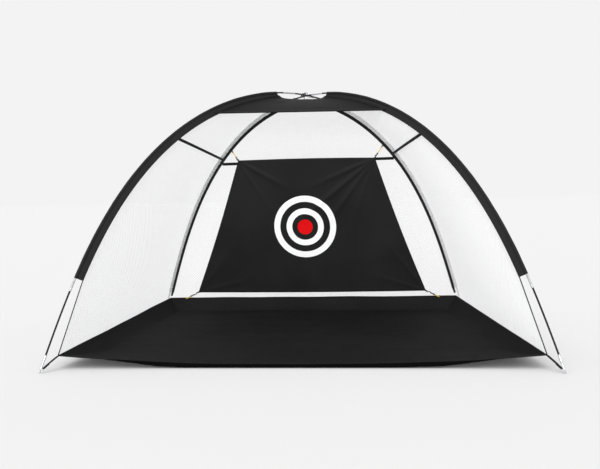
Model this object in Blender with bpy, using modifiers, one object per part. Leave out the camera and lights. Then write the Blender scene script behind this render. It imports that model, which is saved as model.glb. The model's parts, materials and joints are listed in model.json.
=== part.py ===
"""Golf chipping net: a dome-tent practice cage with a ground sheet and a hung target cloth.

Two long shock-corded poles cross at the crown and stand on four feet. Fabric sleeves on the
poles carry three net walls and a header panel, and a ground sheet ties the four feet together.
The open side faces -Y, +X is the player's right, the origin is on the ground under the middle.
"""
import math

import bmesh
import bpy
from mathutils import Matrix, Vector

# Driving dimensions, in metres
FRONT_SPAN = 3.000            # between the front feet
REAR_SPAN = 2.580             # between the rear feet
FOOT_DEPTH = 1.950            # front feet to rear feet
CROWN_HEIGHT = 1.750          # middle of the two pole centre lines at the crown
CROWN_LEAN = 0.260            # how far the crown leans towards the rear
SECTION_COUNT = 10            # sections of one pole

ROD_RADIUS = 0.0055
BORE_RADIUS = 0.0029
FERRULE_RADIUS = 0.0066
FERRULE_BORE = 0.0058
FERRULE_REACH = 0.050         # each way from a joint
TIP_LENGTH = 0.080
TIP_START = 0.014             # from the foot's eye to the open end of the pole
CORD_RADIUS = 0.0016
POLE_STACK = 0.0062           # half the distance between the two poles where they cross

SLEEVE_RADIUS = 0.0082
SLEEVE_BORE = 0.0074
SLEEVE_DEPTH = 0.050          # pole centre to the sleeve's sewn edge
SLEEVE_EDGE = 0.0009          # half the thickness of the sewn edge
PANEL_DEPTH = SLEEVE_DEPTH + 0.0015    # pole centre to the edge of a panel
FRONT_SLEEVE = (0.556, 2.545)  # along the pole, from its front foot
REAR_SLEEVE = (2.930, 5.080)
HEADER_SPAN = (1.990, 2.535)
SIDE_TAPE_FRONT = 1.662
SIDE_TAPE_REAR = 3.740
REAR_TAPE = 3.785

EYE_HEIGHT = 0.0076           # middle of the pin's eye above the ground
WIRE_RADIUS = 0.0017
EYE_RADIUS = 0.0056
RING_RADIUS = 0.0120
PIN_RADIUS = 0.0025
PIN_LENGTH = 0.056

SHEET_FRONT = (1.435, -0.870, 0.074)   # right front corner of the ground sheet
SHEET_REAR = (1.235, 0.930, 0.102)     # right rear corner
REAR_HOLD = (1.188, 0.888, 0.040)      # where the rear strap is sewn, under the raised corner
SHEET_SAG = 0.020             # height of the middle of the front edge
FRONT_LIFT = 0.420            # how far back from the front edge the sheet leaves the ground
LIP_WIDTH = 0.110             # the same from the side and rear edges
SHEET_DEPTH = SHEET_REAR[1] - SHEET_FRONT[1]
SHEET_THICK = 0.002

NET_THICK = 0.0016
NET_SAG = 0.014
NET_SHIFT = 0.0028            # keeps the panels on the two sides of a sleeve apart
EDGE_GAP = 0.004              # between the nets' lower corners and the sheet's
TAPE_WIDTH = 0.025
TAPE_THICK = 0.0014
TAPE_OFFSET = 0.010           # inwards from the net wall, whose rows are straight
LOOP_WIDTH = 0.011            # the webbing is gathered where it holds the ring
STRAP_THICK = 0.0016

TARGET_TOP = (0.538, 0.510, 1.271)     # right top corner of the cloth
TARGET_BOTTOM = (0.972, 0.880, 0.160)  # right bottom corner
TARGET_THICK = 0.002
UPPER_ANCHOR = 3.620          # where the upper elastics hold, along the poles
LOWER_ANCHOR = (1.090, 0.905, 0.100)   # where the lower ones hold, near the rear corners
ANCHOR_DEPTH = SLEEVE_DEPTH + 0.018
ELASTIC_RADIUS = 0.0026
HOOK_WIRE = 0.0018
HOOK_LENGTH = 0.042
HANGER_GAP = 0.006            # left free at each end of a hanger

TIE_RADIUS = 0.0018
WRAP_WIDE = 0.0185            # half width and half height of a tie's turn round the two poles
WRAP_HIGH = 0.0180
TIE_END_LEFT = ((-0.001, -0.0245, 0.004), (0.008, -0.027, 0.014), (0.020, -0.027, 0.018),
                (0.031, -0.026, 0.008))    # from the crossing of the poles
TIE_END_RIGHT = ((0.002, -0.0235, -0.002), (0.006, -0.028, -0.014), (0.009, -0.033, -0.040))

GAP = 0.0003
SIDES = 8


# ---------------------------------------------------------------- scene and materials

for old in list(bpy.data.objects):
    bpy.data.objects.remove(old, do_unlink=True)

COLLECTION = bpy.data.collections.new("golf_chipping_net")
bpy.context.scene.collection.children.link(COLLECTION)


def material(name, colour, roughness, metallic=0.0):
    made = bpy.data.materials.new(name)
    made.use_nodes = True
    shader = made.node_tree.nodes["Principled BSDF"]
    shader.inputs["Base Color"].default_value = (*colour, 1.0)
    shader.inputs["Roughness"].default_value = roughness
    shader.inputs["Metallic"].default_value = metallic
    made.diffuse_color = (*colour, 1.0)
    return made


FIBREGLASS = material("fibreglass", (0.02, 0.02, 0.022), 0.35)
STEEL = material("steel", (0.62, 0.62, 0.64), 0.25, 1.0)
OXFORD = material("oxford_cloth", (0.018, 0.018, 0.02), 0.75)
NETTING = material("netting", (0.92, 0.92, 0.93), 0.7)
WEBBING = material("webbing", (0.015, 0.015, 0.016), 0.8)
SHEETING = material("ground_sheet", (0.014, 0.014, 0.015), 0.6)
TARGET = material("target_cloth", (0.02, 0.02, 0.022), 0.7)
ELASTIC = material("yellow_elastic", (0.72, 0.58, 0.12), 0.6)
HOOK = material("hook_plastic", (0.02, 0.02, 0.02), 0.45)
SHOCK_CORD = material("shock_cord", (0.75, 0.75, 0.75), 0.7)


# ---------------------------------------------------------------- helpers

def hang_on(name, place, pieces):
    """Parent the pieces of a moving body to an empty on its joint's axis."""
    axis = bpy.data.objects.new(name, None)
    axis.location = place
    COLLECTION.objects.link(axis)
    for piece in pieces:
        piece.parent = axis
        piece.matrix_parent_inverse = Matrix.Translation(-Vector(place))


def add_object(name, data, look):
    made = bpy.data.objects.new(name, data)
    COLLECTION.objects.link(made)
    data.materials.append(look)
    return made


def finish_mesh(name, shape, look, smooth=True):
    bmesh.ops.recalc_face_normals(shape, faces=shape.faces)
    mesh = bpy.data.meshes.new(name)
    shape.to_mesh(mesh)
    shape.free()
    made = add_object(name, mesh, look)
    if smooth:
        mesh.shade_smooth()
        mesh.set_sharp_from_angle(angle=math.radians(40))
    return made


def loft(name, rings, look, looped=False, smooth=True):
    """Skin equal rings of points; looped joins the last ring to the first, as on a tube with a bore."""
    shape = bmesh.new()
    rows = [[shape.verts.new(point) for point in ring] for ring in rings]
    count = len(rows[0])
    pairs = list(zip(rows, rows[1:]))
    if looped:
        pairs.append((rows[-1], rows[0]))
    for low, high in pairs:
        for j in range(count):
            k = (j + 1) % count
            shape.faces.new((low[j], low[k], high[k], high[j]))
    if not looped:
        shape.faces.new(rows[0])
        shape.faces.new(rows[-1])
    return finish_mesh(name, shape, look, smooth)


def sheet_between(name, rows, thickness, look, offset=0.0):
    """A fabric panel: a grid of points made solid."""
    shape = bmesh.new()
    grid = [[shape.verts.new(point) for point in row] for row in rows]
    for low, high in zip(grid, grid[1:]):
        for j in range(len(low) - 1):
            shape.faces.new((low[j], low[j + 1], high[j + 1], high[j]))
    mesh = bpy.data.meshes.new(name)
    shape.to_mesh(mesh)
    shape.free()
    made = add_object(name, mesh, look)
    solid = made.modifiers.new("thickness", "SOLIDIFY")
    solid.thickness = thickness
    solid.offset = offset
    return made


def ribbon(name, centre, width, thickness, look):
    """A flat strap: its centre line lies in the plane across `width`, a vector of half its width."""
    rings = []
    for i, point in enumerate(centre):
        before = centre[max(i - 1, 0)]
        after = centre[min(i + 1, len(centre) - 1)]
        up = width.cross(after - before).normalized() * (thickness / 2)
        rings.append([point - width - up, point + width - up, point + width + up, point - width + up])
    return loft(name, rings, look, smooth=False)


def wire(name, points, radius, look):
    """A round cord or wire along points, with flat ends."""
    curve = bpy.data.curves.new(name, "CURVE")
    curve.dimensions = "3D"
    curve.bevel_depth = radius
    curve.bevel_resolution = 2
    curve.use_fill_caps = True
    spline = curve.splines.new("POLY")
    spline.points.add(len(points) - 1)
    for knot, point in zip(spline.points, points):
        knot.co = (*point, 1.0)
    return add_object(name, curve, look)


def spread(points, count):
    """The same line with `count` points at equal distances."""
    lengths = [0.0]
    for a, b in zip(points, points[1:]):
        lengths.append(lengths[-1] + (b - a).length)
    out = []
    i = 0
    for k in range(count):
        wanted = lengths[-1] * k / (count - 1)
        while i < len(points) - 2 and lengths[i + 1] < wanted:
            i += 1
        part = (wanted - lengths[i]) / (lengths[i + 1] - lengths[i])
        out.append(points[i].lerp(points[i + 1], part))
    return out


# ---------------------------------------------------------------- the bent poles

def bow_shape(span, rise, steps=400):
    """A springy rod bent between two feet: its slope follows a cosine along its length."""
    low, high = 0.2, 2.0
    for _ in range(60):
        slope = (low + high) / 2
        run, height, top = [0.0], [0.0], 0.0
        for k in range(steps):
            angle = slope * math.cos(math.pi * (k + 0.5) / steps)
            run.append(run[-1] + math.cos(angle))
            height.append(height[-1] + math.sin(angle))
            top = max(top, height[-1])
        if top / run[-1] > rise / span:
            high = slope
        else:
            low = slope
    scale = span / run[-1]
    return [r * scale for r in run], [h * scale for h in height], scale * steps


class Pole:
    """The centre line of one pole, from a front foot to the opposite rear foot."""

    def __init__(self, side, crown):
        front = Vector((side * FRONT_SPAN / 2, -FOOT_DEPTH / 2, 0))
        rear = Vector((-side * REAR_SPAN / 2, FOOT_DEPTH / 2, 0))
        chord = rear - front
        rise = crown - EYE_HEIGHT
        run, height, self.length = bow_shape(chord.length, rise)
        self.curve = []
        for r, h in zip(run, height):
            lean = Vector((0, CROWN_LEAN * h / rise, 0))
            self.curve.append(front + chord * (r / chord.length) + lean + Vector((0, 0, h + EYE_HEIGHT)))
        plane = chord.cross(Vector((0, CROWN_LEAN, rise))).normalized()
        self.outward = plane if plane.y < 0 else -plane
        self.joints = [self.length * k / SECTION_COUNT for k in range(SECTION_COUNT + 1)]
        self.stations = self.list_stations()
        self.places = [self.curve_frame(s) for s in self.stations]

    def list_stations(self):
        """Places where every piece on this pole bends, so that nested pieces keep their clearance."""
        out = [TIP_START, TIP_START + TIP_LENGTH, self.length - TIP_START - TIP_LENGTH]
        for k in range(SECTION_COUNT):
            start = self.joints[k] + FERRULE_REACH
            end = self.joints[k + 1] - FERRULE_REACH
            out += [start + (end - start) * m / 3 for m in range(4)]
            out.append(self.joints[k + 1])
        out[-1] = self.length - TIP_START
        out.remove(self.joints[0] + FERRULE_REACH)
        out.remove(self.joints[-1] - FERRULE_REACH)
        return sorted(out)

    def curve_frame(self, s):
        """Point, direction and inward normal of the smooth curve."""
        steps = len(self.curve) - 1
        place = min(max(s / self.length * steps, 0.0), steps - 1e-6)
        k = int(place)
        point = self.curve[k].lerp(self.curve[k + 1], place - k)
        low = self.curve[max(k - 1, 0)]
        high = self.curve[min(k + 2, steps)]
        along = (high - low).normalized()
        inward = self.outward.cross(along).normalized()
        if inward.z > 0 or (abs(inward.z) < 0.2 and inward.x * point.x > 0):
            inward = -inward
        return point, along, inward

    def frame(self, s):
        """Point, direction and inward normal on the line through the stations."""
        if s <= self.stations[0] or s >= self.stations[-1]:
            return self.curve_frame(s)
        k = max(i for i, station in enumerate(self.stations[:-1]) if station <= s)
        part = (s - self.stations[k]) / (self.stations[k + 1] - self.stations[k])
        low, high = self.places[k], self.places[k + 1]
        point = low[0].lerp(high[0], part)
        along = low[1].lerp(high[1], part).normalized()
        inward = low[2].lerp(high[2], part)
        inward = (inward - along * inward.dot(along)).normalized()
        return point, along, inward

    def ring(self, s, radius, sides=SIDES):
        point, along, inward = self.frame(s)
        side = along.cross(inward)
        out = []
        for j in range(sides):
            turn = 2 * math.pi * j / sides
            out.append(point + (inward * math.cos(turn) + side * math.sin(turn)) * radius)
        return out

    def between(self, start, end):
        """Stations strictly inside a stretch."""
        return [s for s in self.stations if start + 1e-5 < s < end - 1e-5]

    def edge(self, s, shift=0.0, depth=PANEL_DEPTH):
        """A point on the sewn edge of the sleeve; shift moves it out to the front of the pole's plane."""
        point, _, inward = self.frame(s)
        return point + inward * depth + self.outward * shift

    def edge_line(self, start, end, shift, count, depth=PANEL_DEPTH):
        step = (end - start) / (count - 1)
        return [self.edge(start + step * k, shift, depth) for k in range(count)]


POLE_A = Pole(-1, CROWN_HEIGHT + POLE_STACK)   # front left foot to rear right foot, on top
POLE_B = Pole(1, CROWN_HEIGHT - POLE_STACK)    # front right foot to rear left foot, below
POLES = {"a": POLE_A, "b": POLE_B}


def make_section(pole, name, index):
    """One fibreglass section with the steel ferrule on its far end, or the tip on a foot end."""
    first = index == 0
    last = index == SECTION_COUNT - 1
    start = pole.joints[index] + GAP
    end = pole.joints[index + 1]
    outer = []
    if first:
        start = TIP_START
        tip = TIP_START + TIP_LENGTH
        outer += [(start, FERRULE_RADIUS), (tip, FERRULE_RADIUS), (tip + GAP, ROD_RADIUS)]
        inside = pole.between(tip, end - FERRULE_REACH)
    else:
        outer.append((start, ROD_RADIUS))
        inside = pole.between(start, end - (TIP_START + TIP_LENGTH if last else FERRULE_REACH))
    outer += [(s, ROD_RADIUS) for s in inside]
    if last:
        end = pole.length - TIP_START
        tip = end - TIP_LENGTH
        outer += [(tip - GAP, ROD_RADIUS), (tip, FERRULE_RADIUS), (end, FERRULE_RADIUS)]
        bore = [(end, BORE_RADIUS), (tip, BORE_RADIUS)]
    else:
        collar = end - FERRULE_REACH
        mouth = end + FERRULE_REACH
        outer += [(collar - GAP, ROD_RADIUS), (collar, FERRULE_RADIUS)]
        outer += [(end, FERRULE_RADIUS), (mouth, FERRULE_RADIUS)]
        bore = [(mouth, FERRULE_BORE), (end + GAP / 2, FERRULE_BORE), (end, BORE_RADIUS)]
        bore.append((collar, BORE_RADIUS))
    bore += [(s, BORE_RADIUS) for s in reversed(inside)]
    if first:
        bore.append((TIP_START + TIP_LENGTH, BORE_RADIUS))
    bore.append((start, BORE_RADIUS))
    rings = [pole.ring(s, radius) for s, radius in outer + bore]
    return loft(name, rings, FIBREGLASS, looped=True)


def make_shock_cord(pole, name):
    start = TIP_START + TIP_LENGTH
    end = pole.length - start
    stops = [start] + pole.between(start, end) + [end]
    return loft(name, [pole.ring(s, CORD_RADIUS, 6) for s in stops], SHOCK_CORD)


SLEEVE_ANGLES = [10, 45, 90, 135, 180, 225, 270, 315, 350]


def make_sleeve(pole, name, start, end):
    """A pole sleeve: a bore for the pole and a flat sewn band towards the inside of the dome."""
    stops = [start] + pole.between(start, end) + [end]
    outer, bore = [], []
    for s in stops:
        point, along, inward = pole.frame(s)
        side = along.cross(inward)
        shell, hollow = [], []
        for angle in SLEEVE_ANGLES:
            turn = math.radians(angle)
            ray = inward * math.cos(turn) + side * math.sin(turn)
            hollow.append(point + ray * SLEEVE_BORE)
            if angle in (10, 350):
                edge = SLEEVE_EDGE if angle == 10 else -SLEEVE_EDGE
                shell.append(point + inward * SLEEVE_DEPTH + side * edge)
            else:
                shell.append(point + ray * SLEEVE_RADIUS)
        outer.append(shell)
        bore.append(hollow)
    return loft(name, outer + bore[::-1], OXFORD, looped=True)


# ---------------------------------------------------------------- fabric panels

def sheet_corner(side, corner):
    return Vector((side * corner[0], corner[1], corner[2]))


def across_rows(left, right, columns, sag):
    """Rows of points between two edge lines, hollowed by a sag vector in the middle."""
    rows = []
    for i, (a, b) in enumerate(zip(left, right)):
        down = math.sin(math.pi * i / (len(left) - 1))
        row = []
        for j in range(columns):
            part = j / (columns - 1)
            row.append(a.lerp(b, part) + sag * (down * math.sin(math.pi * part)))
        rows.append(row)
    return rows


def net_front_line(side, pole):
    """Front edge of a side net: the sleeve's sewn edge, then the free binding down to the sheet."""
    line = pole.edge_line(FRONT_SLEEVE[1], FRONT_SLEEVE[0], -NET_SHIFT, 24)
    foot = sheet_corner(side, SHEET_FRONT) + Vector((0, 0.012, EDGE_GAP))
    line[-1] += Vector((0, 0.006, 0))
    return line + [line[-1].lerp(foot, 0.5) + Vector((0, 0.006, 0)), foot]


def net_rear_line(side, pole, shift, inset):
    line = pole.edge_line(REAR_SLEEVE[0], REAR_SLEEVE[1], shift, 24)
    foot = sheet_corner(side, SHEET_REAR) + inset
    return line[:-1] + [foot]


def make_side_net(side, front_pole, rear_pole, name):
    front = spread(net_front_line(side, front_pole), 14)
    rear = spread(net_rear_line(side, rear_pole, NET_SHIFT, Vector((side * 0.001, -0.012, EDGE_GAP))), 14)
    rows = across_rows(front, rear, 6, Vector((-side * NET_SAG, 0, -NET_SAG / 3)))
    return sheet_between(name, rows, NET_THICK, NETTING)


def make_rear_net(name):
    left = spread(net_rear_line(-1, POLE_B, -NET_SHIFT, Vector((0.012, 0.001, EDGE_GAP))), 14)
    right = spread(net_rear_line(1, POLE_A, -NET_SHIFT, Vector((-0.012, 0.001, EDGE_GAP))), 14)
    rows = across_rows(left, right, 7, Vector((0, 0.004, 0)))
    return sheet_between(name, rows, NET_THICK, NETTING)


def make_header(name):
    left = POLE_A.edge_line(HEADER_SPAN[1], HEADER_SPAN[0], NET_SHIFT, 7)
    right = POLE_B.edge_line(HEADER_SPAN[1], HEADER_SPAN[0], NET_SHIFT, 7)
    rows = across_rows(left, right, 8, Vector((0, 0.004, -0.008)))
    return sheet_between(name, rows, NET_THICK, OXFORD)


def upward(pole, s):
    """The pole's own direction at a place, turned upwards."""
    along = pole.frame(s)[1]
    return along if along.z > 0 else -along


def make_tape(name, low, high, sag, inward):
    """A seam tape sewn on the inside of a wall; low and high are each a pole, a place and a shift."""
    ends = [pole.edge(s, shift) for pole, s, shift in (low, high)]
    span = (ends[1] - ends[0]).normalized()
    count = 7
    line = []
    for k in range(count):
        part = 0.01 + 0.98 * k / (count - 1)
        line.append(ends[0].lerp(ends[1], part) + sag * math.sin(math.pi * part) + inward)
    lie = upward(*low[:2]) + upward(*high[:2])
    half = (lie - span * lie.dot(span)).normalized()
    return ribbon(name, line, half * TAPE_WIDTH / 2, TAPE_THICK, WEBBING)


def make_front_binding(side, pole, name):
    top = pole.edge(FRONT_SLEEVE[0] - 0.012, 0.0)
    foot = sheet_corner(side, SHEET_FRONT) + Vector((0, 0, EDGE_GAP))
    across = (foot - top).cross(Vector((side, 0, 0))).normalized() * 0.005
    return ribbon(name, [top.lerp(foot, k / 4) for k in range(5)], across, 0.003, WEBBING)


def sheet_edges(depth):
    """Half width and corner lip height of the ground sheet at a fraction of its depth."""
    half = SHEET_FRONT[0] + (SHEET_REAR[0] - SHEET_FRONT[0]) * depth
    lip = SHEET_FRONT[2] + (SHEET_REAR[2] - SHEET_FRONT[2]) * depth
    return half, lip


def lip_rise(distance, width):
    """Share of the edge's height at a distance in from the edge."""
    return max(0.0, 1.0 - distance / width) ** 1.4


def sheet_height(x, along):
    """Height of the sheet, pulled up along its edges and taut between its front corners."""
    half, lip = sheet_edges(along / SHEET_DEPTH)
    share = min(1.0, abs(x) / half)
    front = SHEET_SAG + (SHEET_FRONT[2] - SHEET_SAG) * share ** 2.4
    return max(lip * lip_rise(half - abs(x), LIP_WIDTH), front * lip_rise(along, FRONT_LIFT),
               lip * lip_rise(SHEET_DEPTH - along, LIP_WIDTH))


def make_ground_sheet(name):
    inner = [LIP_WIDTH * k / 4 for k in range(5)]
    ys = [FRONT_LIFT * k / 5 for k in range(6)] + [0.9, 1.35] + [SHEET_DEPTH - d for d in reversed(inner)]
    rows = []
    for along in ys:
        half = sheet_edges(along / SHEET_DEPTH)[0]
        xs = [-half + d for d in inner]
        xs += [half * share for share in (-0.8, -0.62, -0.35, 0.0, 0.35, 0.62, 0.8)]
        xs += [half - d for d in reversed(inner)]
        rows.append([Vector((x, SHEET_FRONT[1] + along, sheet_height(x, along) + SHEET_THICK)) for x in xs])
    return sheet_between(name, rows, SHEET_THICK, SHEETING, offset=-1.0)


# ---------------------------------------------------------------- feet

def make_foot(label, pole, at_front, side, corner):
    """Pin, ring and corner strap of one foot."""
    s_end = TIP_START if at_front else pole.length - TIP_START
    mouth = pole.frame(s_end)[0]
    far = pole.frame(TIP_START + TIP_LENGTH if at_front else pole.length - TIP_START - TIP_LENGTH)[0]
    along = (far - mouth).normalized()
    eye = mouth - along * TIP_START
    eye.z = max(eye.z, EYE_HEIGHT)
    hold = sheet_corner(side, corner) - Vector((0, 0, SHEET_THICK))
    pull = (hold - eye).normalized()
    level = pull.cross(Vector((0, 0, 1))).normalized()

    # The pin: a shank in the pole's bore, with an eye bent in its lower end
    shank = bmesh.new()
    turn = along.to_track_quat("Z", "Y").to_matrix().to_4x4()
    length = PIN_LENGTH - EYE_RADIUS
    middle = eye + along * (EYE_RADIUS + length / 2)
    bmesh.ops.create_cone(shank, cap_ends=True, segments=8, radius1=PIN_RADIUS, radius2=PIN_RADIUS,
                          depth=length, matrix=Matrix.Translation(middle) @ turn)
    shank_mesh = bpy.data.meshes.new("shank_" + label)
    shank.to_mesh(shank_mesh)
    shank.free()
    cutters = bpy.data.collections.get("joining_shapes") or bpy.data.collections.new("joining_shapes")
    if cutters.name not in bpy.context.scene.collection.children:
        bpy.context.scene.collection.children.link(cutters)
    shank_object = bpy.data.objects.new("shank_" + label, shank_mesh)
    cutters.objects.link(shank_object)
    shank_object.hide_render = True
    shank_object.display_type = "WIRE"
    pin = torus("foot_pin_" + label, eye, level, EYE_RADIUS, WIRE_RADIUS, 12, 6)
    joined = pin.modifiers.new("shank", "BOOLEAN")
    joined.operation = "UNION"
    joined.object = shank_object

    # The ring threads the eye and lies in the plane of the strap
    held = eye + pull * (EYE_RADIUS - WIRE_RADIUS * 2 - GAP)
    centre = held + pull * RING_RADIUS
    ring = torus("foot_ring_" + label, centre, pull.cross(level), RING_RADIUS, WIRE_RADIUS, 16, 6)
    hang_on("foot_ring_%s_axis" % label, held, [ring])

    # The strap folds round the far side of the ring and runs back up to the sheet corner
    loop = centre + pull * RING_RADIUS
    lift = level.cross(pull).normalized()
    if lift.z < 0:
        lift = -lift
    half_width = LOOP_WIDTH / 2
    dip = RING_RADIUS - math.sqrt(RING_RADIUS ** 2 - half_width ** 2)
    radius = WIRE_RADIUS + 2 * GAP + dip + STRAP_THICK / 2
    start = hold - pull * 0.003
    line = [start + lift * radius]
    for k in range(9):
        angle = math.radians(90 + 180 * k / 8)
        line.append(loop + pull * math.cos(angle) * radius + lift * math.sin(angle) * radius)
    line.append(loop + pull * 0.022 - lift * radius)
    ribbon("corner_strap_" + label, line, level * half_width, STRAP_THICK, WEBBING)


def torus(name, centre, axis, major, minor, around, sides):
    turn = axis.to_track_quat("Z", "Y")
    bpy.ops.mesh.primitive_torus_add(major_segments=around, minor_segments=sides, major_radius=major,
                                     minor_radius=minor, location=centre, rotation=turn.to_euler())
    made = bpy.context.object
    made.name = name
    made.data.materials.append(STEEL)
    for holder in list(made.users_collection):
        holder.objects.unlink(made)
    COLLECTION.objects.link(made)
    made.data.shade_smooth()
    return made


# ---------------------------------------------------------------- target cloth and its elastics

def make_target(name):
    top, bottom = Vector(TARGET_TOP), Vector(TARGET_BOTTOM)
    rows = []
    for i in range(6):
        right = top.lerp(bottom, i / 5)
        row = []
        for j in range(7):
            row.append(Vector((right.x * (2 * j / 6 - 1), right.y, right.z)))
        rows.append(row)
    return sheet_between(name, rows, TARGET_THICK, TARGET)


def make_hanger(label, anchor, corner):
    """A yellow elastic from a sleeve edge, and the hook that joins it to the cloth's corner."""
    pull = (corner - anchor).normalized()
    side = pull.cross(Vector((0, -1, 0))).normalized()
    hook_end = corner - pull * HANGER_GAP
    hook_start = hook_end - pull * HOOK_LENGTH
    bend = HOOK_LENGTH * 0.16
    points = []
    for k in range(13):
        part = k / 12
        swing = math.sin(2 * math.pi * part) * bend
        points.append(hook_start.lerp(hook_end, part) + side * swing)
    wire("target_hook_" + label, points, HOOK_WIRE, HOOK)
    begin = anchor + pull * HANGER_GAP
    stop = hook_start - pull * 0.003
    wire("target_elastic_" + label, [begin.lerp(stop, k / 4) for k in range(5)], ELASTIC_RADIUS, ELASTIC)


def make_tie(name, side, start_x, free_end):
    """A tie string from the header's upper edge, once round both poles, to its free end."""
    edge = POLE_A.edge(HEADER_SPAN[1], NET_SHIFT)
    begin = Vector((side * start_x, edge.y + 0.010, edge.z + 0.006))
    crossing = crossing_place()
    arrive = crossing + Vector((side * 0.010, -0.026, -0.006))
    line = [begin, begin.lerp(arrive, 0.5) - Vector((0, 0, 0.004)), arrive]
    for k in range(9):
        turn = math.radians(190 - 340 * k / 8)
        place = (side * (0.009 - 0.006 * k / 8), WRAP_WIDE * math.cos(turn), WRAP_HIGH * math.sin(turn))
        line.append(crossing + Vector(place))
    line += [crossing + Vector(place) for place in free_end]
    smooth = []
    for k in range(len(line) - 1):
        for m in range(3):
            smooth.append(curve_point(line, k + m / 3))
    smooth.append(line[-1])
    wire(name, smooth, TIE_RADIUS, WEBBING)


def curve_point(points, place):
    """A smooth curve through points."""
    k = min(int(place), len(points) - 2)
    t = place - k
    p0, p1, p2, p3 = (points[min(max(k + d, 0), len(points) - 1)] for d in (-1, 0, 1, 2))
    return 0.5 * ((2 * p1) + (p2 - p0) * t + (2 * p0 - 5 * p1 + 4 * p2 - p3) * t * t
                  + (3 * p1 - p0 - 3 * p2 + p3) * t ** 3)


def crossing_place():
    """Halfway between the two poles where one passes over the other."""
    for a, b in zip(POLE_A.curve, POLE_A.curve[1:]):
        if a.x <= 0 <= b.x:
            return a.lerp(b, -a.x / (b.x - a.x)) - Vector((0, 0, POLE_STACK))
    return Vector((0, 0, CROWN_HEIGHT))


# ---------------------------------------------------------------- the whole net

for key, pole in POLES.items():
    for index in range(SECTION_COUNT):
        make_section(pole, "pole_%s_section_%02d" % (key, index + 1), index)
    make_shock_cord(pole, "shock_cord_" + key)

make_sleeve(POLE_A, "sleeve_front_left", *FRONT_SLEEVE)
make_sleeve(POLE_B, "sleeve_front_right", *FRONT_SLEEVE)
make_sleeve(POLE_B, "sleeve_rear_left", *REAR_SLEEVE)
make_sleeve(POLE_A, "sleeve_rear_right", *REAR_SLEEVE)

make_header("header_panel")
make_side_net(-1, POLE_A, POLE_B, "side_net_left")
make_side_net(1, POLE_B, POLE_A, "side_net_right")
make_rear_net("rear_net")
make_ground_sheet("ground_sheet")

for side, front_pole, rear_pole, word in ((-1, POLE_A, POLE_B, "left"), (1, POLE_B, POLE_A, "right")):
    make_front_binding(side, front_pole, "front_binding_" + word)
    make_tape("side_tape_" + word, (front_pole, SIDE_TAPE_FRONT, -NET_SHIFT),
              (rear_pole, SIDE_TAPE_REAR, NET_SHIFT), Vector((-side * NET_SAG, 0, -NET_SAG / 3)),
              Vector((-side * TAPE_OFFSET, 0, -TAPE_OFFSET / 2)))
    make_foot("front_" + word, front_pole, True, side, SHEET_FRONT)
    make_foot("rear_" + word, rear_pole, False, side, REAR_HOLD)
    upper_anchor = rear_pole.edge(UPPER_ANCHOR, 0.0, ANCHOR_DEPTH)
    make_hanger("upper_" + word, upper_anchor, sheet_corner(side, TARGET_TOP))
    make_hanger("lower_" + word, sheet_corner(side, LOWER_ANCHOR), sheet_corner(side, TARGET_BOTTOM))

make_tape("rear_tape", (POLE_B, REAR_TAPE, -NET_SHIFT), (POLE_A, REAR_TAPE, -NET_SHIFT),
          Vector((0, 0, 0)), Vector((0, -TAPE_OFFSET, 0)))
make_target("target_cloth")
swinging = [obj for obj in COLLECTION.objects if obj.name.startswith(("target_cloth", "target_hook"))]
hang_on("target_axis", (0, TARGET_TOP[1], TARGET_TOP[2]), swinging)
make_tie("tie_string_left", -1, 0.070, TIE_END_LEFT)
make_tie("tie_string_right", 1, 0.090, TIE_END_RIGHT)
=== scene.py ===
"""Golf chipping net: the finished look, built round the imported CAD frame.

The open side faces -Y. The poles, sleeves and walls follow the same bent-rod centre lines as the
CAD model, from the same driving dimensions, so the pieces lie where their CAD solids lie. Only the
side nets reach further out on the rear sleeves, by the width of the tape that covers their seam.
"""
import json
import math

import bpy
import numpy as np
from mathutils import Matrix, Vector, noise


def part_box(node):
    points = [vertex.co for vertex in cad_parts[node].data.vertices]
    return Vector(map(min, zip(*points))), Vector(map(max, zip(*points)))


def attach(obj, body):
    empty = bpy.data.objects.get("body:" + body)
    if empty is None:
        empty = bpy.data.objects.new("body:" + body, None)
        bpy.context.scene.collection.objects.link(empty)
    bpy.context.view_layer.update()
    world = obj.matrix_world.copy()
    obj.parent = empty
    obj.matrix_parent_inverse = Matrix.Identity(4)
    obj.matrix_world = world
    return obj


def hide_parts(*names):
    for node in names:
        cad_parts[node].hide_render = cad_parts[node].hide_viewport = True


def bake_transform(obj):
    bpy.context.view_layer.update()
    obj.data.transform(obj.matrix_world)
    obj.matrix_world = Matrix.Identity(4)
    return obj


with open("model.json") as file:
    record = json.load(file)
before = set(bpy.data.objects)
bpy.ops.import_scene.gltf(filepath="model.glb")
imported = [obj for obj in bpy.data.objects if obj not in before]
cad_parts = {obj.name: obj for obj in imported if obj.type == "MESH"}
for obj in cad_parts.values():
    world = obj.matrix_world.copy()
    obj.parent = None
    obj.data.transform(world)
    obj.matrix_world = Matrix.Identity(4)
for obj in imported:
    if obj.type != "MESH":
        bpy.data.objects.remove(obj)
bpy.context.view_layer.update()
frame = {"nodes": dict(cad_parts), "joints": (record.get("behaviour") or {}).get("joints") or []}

SCENE = bpy.context.scene

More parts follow.
